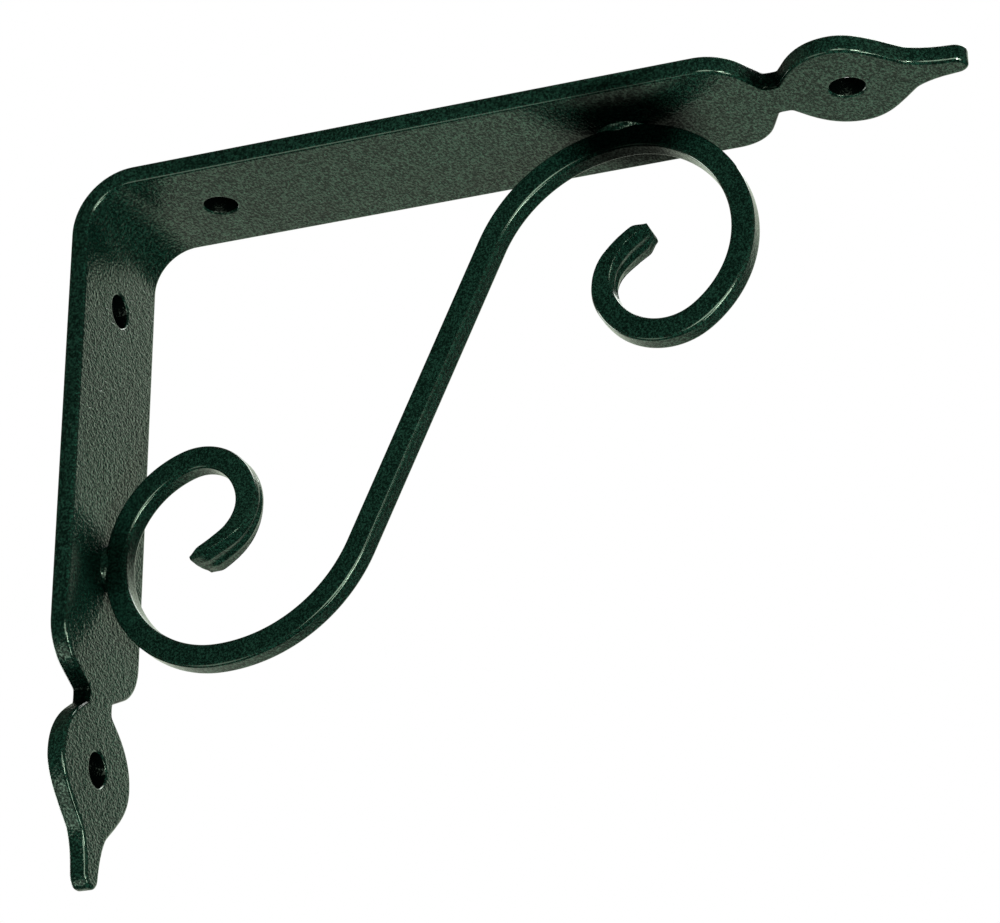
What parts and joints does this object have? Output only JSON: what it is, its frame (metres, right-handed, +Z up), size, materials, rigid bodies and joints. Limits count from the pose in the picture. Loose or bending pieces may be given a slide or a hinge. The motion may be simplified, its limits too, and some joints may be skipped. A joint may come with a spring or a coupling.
{
  "type": "shelf bracket",
  "caption": "Wrought iron L bracket of flat bar with spear-cut ends and screw holes, and a thin square bar S scroll welded into its corner",
  "frame": {"origin": "On the wall face of the leg, at mid width, midway between its two screw holes", "axes": "+X out from the wall along the arm, +Z up along the leg to the shelf face, +Y across the width of the flat bar"},
  "size_m": [0.1459, 0.025, 0.1172],
  "materials": {
    "green_coat": "fine-textured dark green powder coat, semi-gloss"
  },
  "bodies": {
    "root": {"flat_bar": "green_coat", "scroll": "green_coat"}
  },
  "joints": []
}
